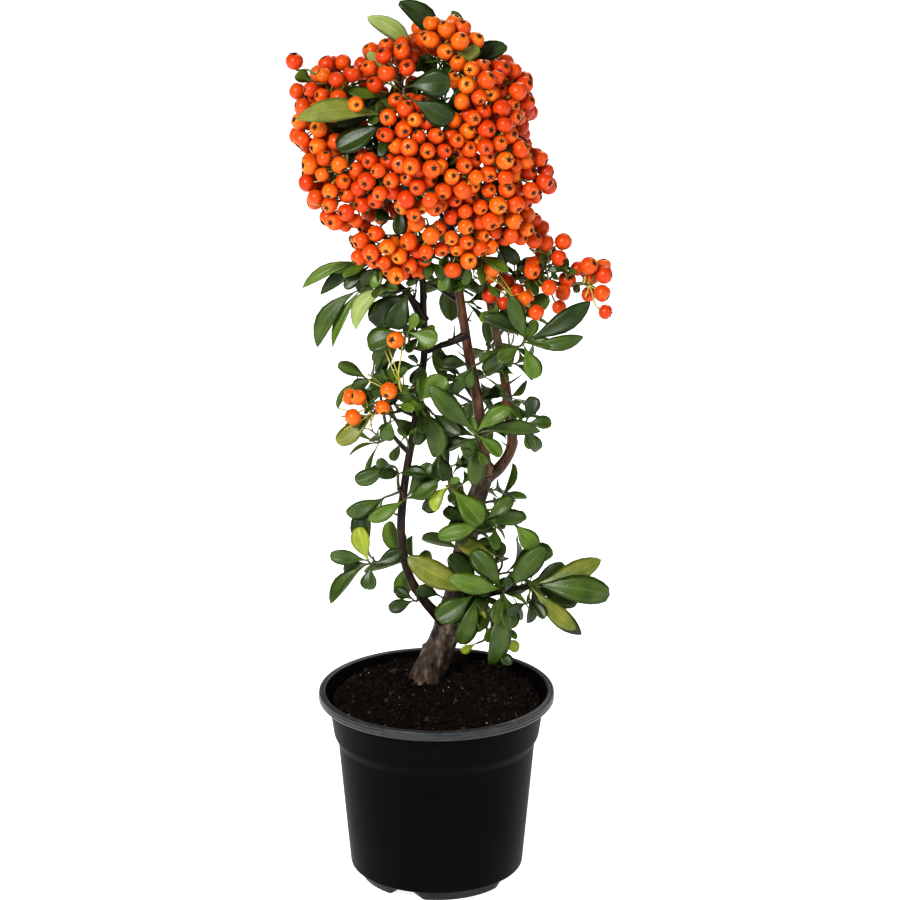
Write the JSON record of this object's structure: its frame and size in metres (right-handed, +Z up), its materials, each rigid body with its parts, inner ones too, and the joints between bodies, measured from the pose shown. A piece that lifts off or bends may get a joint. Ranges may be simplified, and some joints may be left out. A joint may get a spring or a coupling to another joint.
{
  "type": "potted firethorn shrub",
  "caption": "Young firethorn shrub with a leaning trunk, slim stems, sprays of small leaves and a tall crown of berries, standing in a round nursery pot.",
  "frame": {"origin": "centre of the pot's flat underside", "axes": "+Z up along the pot's axis and the stems, +X towards the long arm of fruit at the plant's right, -Y the plant's front, which its fullest bunches face"},
  "size_m": [0.1762, 0.1474, 0.5264],
  "materials": {
    "pot": "satin",
    "soil": "rough",
    "bark": "rough",
    "leaf": "satin",
    "fruit": "glossy"
  },
  "bodies": {
    "root": {"arm_end_fruit": "fruit", "arm_inner_fruit": "fruit", "arm_upper_fruit": "fruit", "back_crown_bough": "bark", "back_crown_leaves": "leaf", "back_fork_leaves": "leaf", "back_left_fruit": "fruit", "back_left_leaves": "leaf", "back_low_leaves": "leaf", "back_middle_fruit": "fruit", "back_middle_leaves": "leaf", "back_right_fruit": "fruit", "back_right_leaves": "leaf", "back_top_fruit": "fruit", "back_under_fruit": "fruit", "back_upper_leaves": "leaf", "centre_leaves": "leaf", "centre_left_leaves": "leaf", "cross_branch": "bark", "crown_front_leaves": "leaf", "crown_left_leaves": "leaf", "crown_under_leaves": "leaf", "fork_left_leaves": "leaf", "fork_right_leaves": "leaf", "front_fruit": "fruit", "inner_leaves": "leaf", "left_branch": "bark", "left_branch_leaves": "leaf", "left_crown_bough": "bark", "left_fruit": "fruit", "left_hanging_leaves": "leaf", "left_low_leaves": "leaf", "left_low_middle_leaves": "leaf", "left_middle_leaves": "leaf", "left_rosette_leaves": "leaf", "left_side_leaves": "leaf", "left_stem_lower": "bark", "left_stem_upper": "bark", "little_fruit": "fruit", "low_front_leaves": "leaf", "low_middle_leaves": "leaf", "low_right_branch": "bark", "low_right_leaves": "leaf", "middle_stem": "bark", "pot": "pot", "right_arm": "bark", "right_fruit": "fruit", "right_middle_leaves": "leaf", "right_stem": "bark", "right_upper_leaves": "leaf", "soil": "soil", "top_fruit": "fruit", "top_leaves": "leaf", "top_left_fruit": "fruit", "top_right_fruit": "fruit", "trunk": "bark", "under_fruit": "fruit", "under_left_fruit": "fruit", "under_right_fruit": "fruit"}
  },
  "joints": []
}
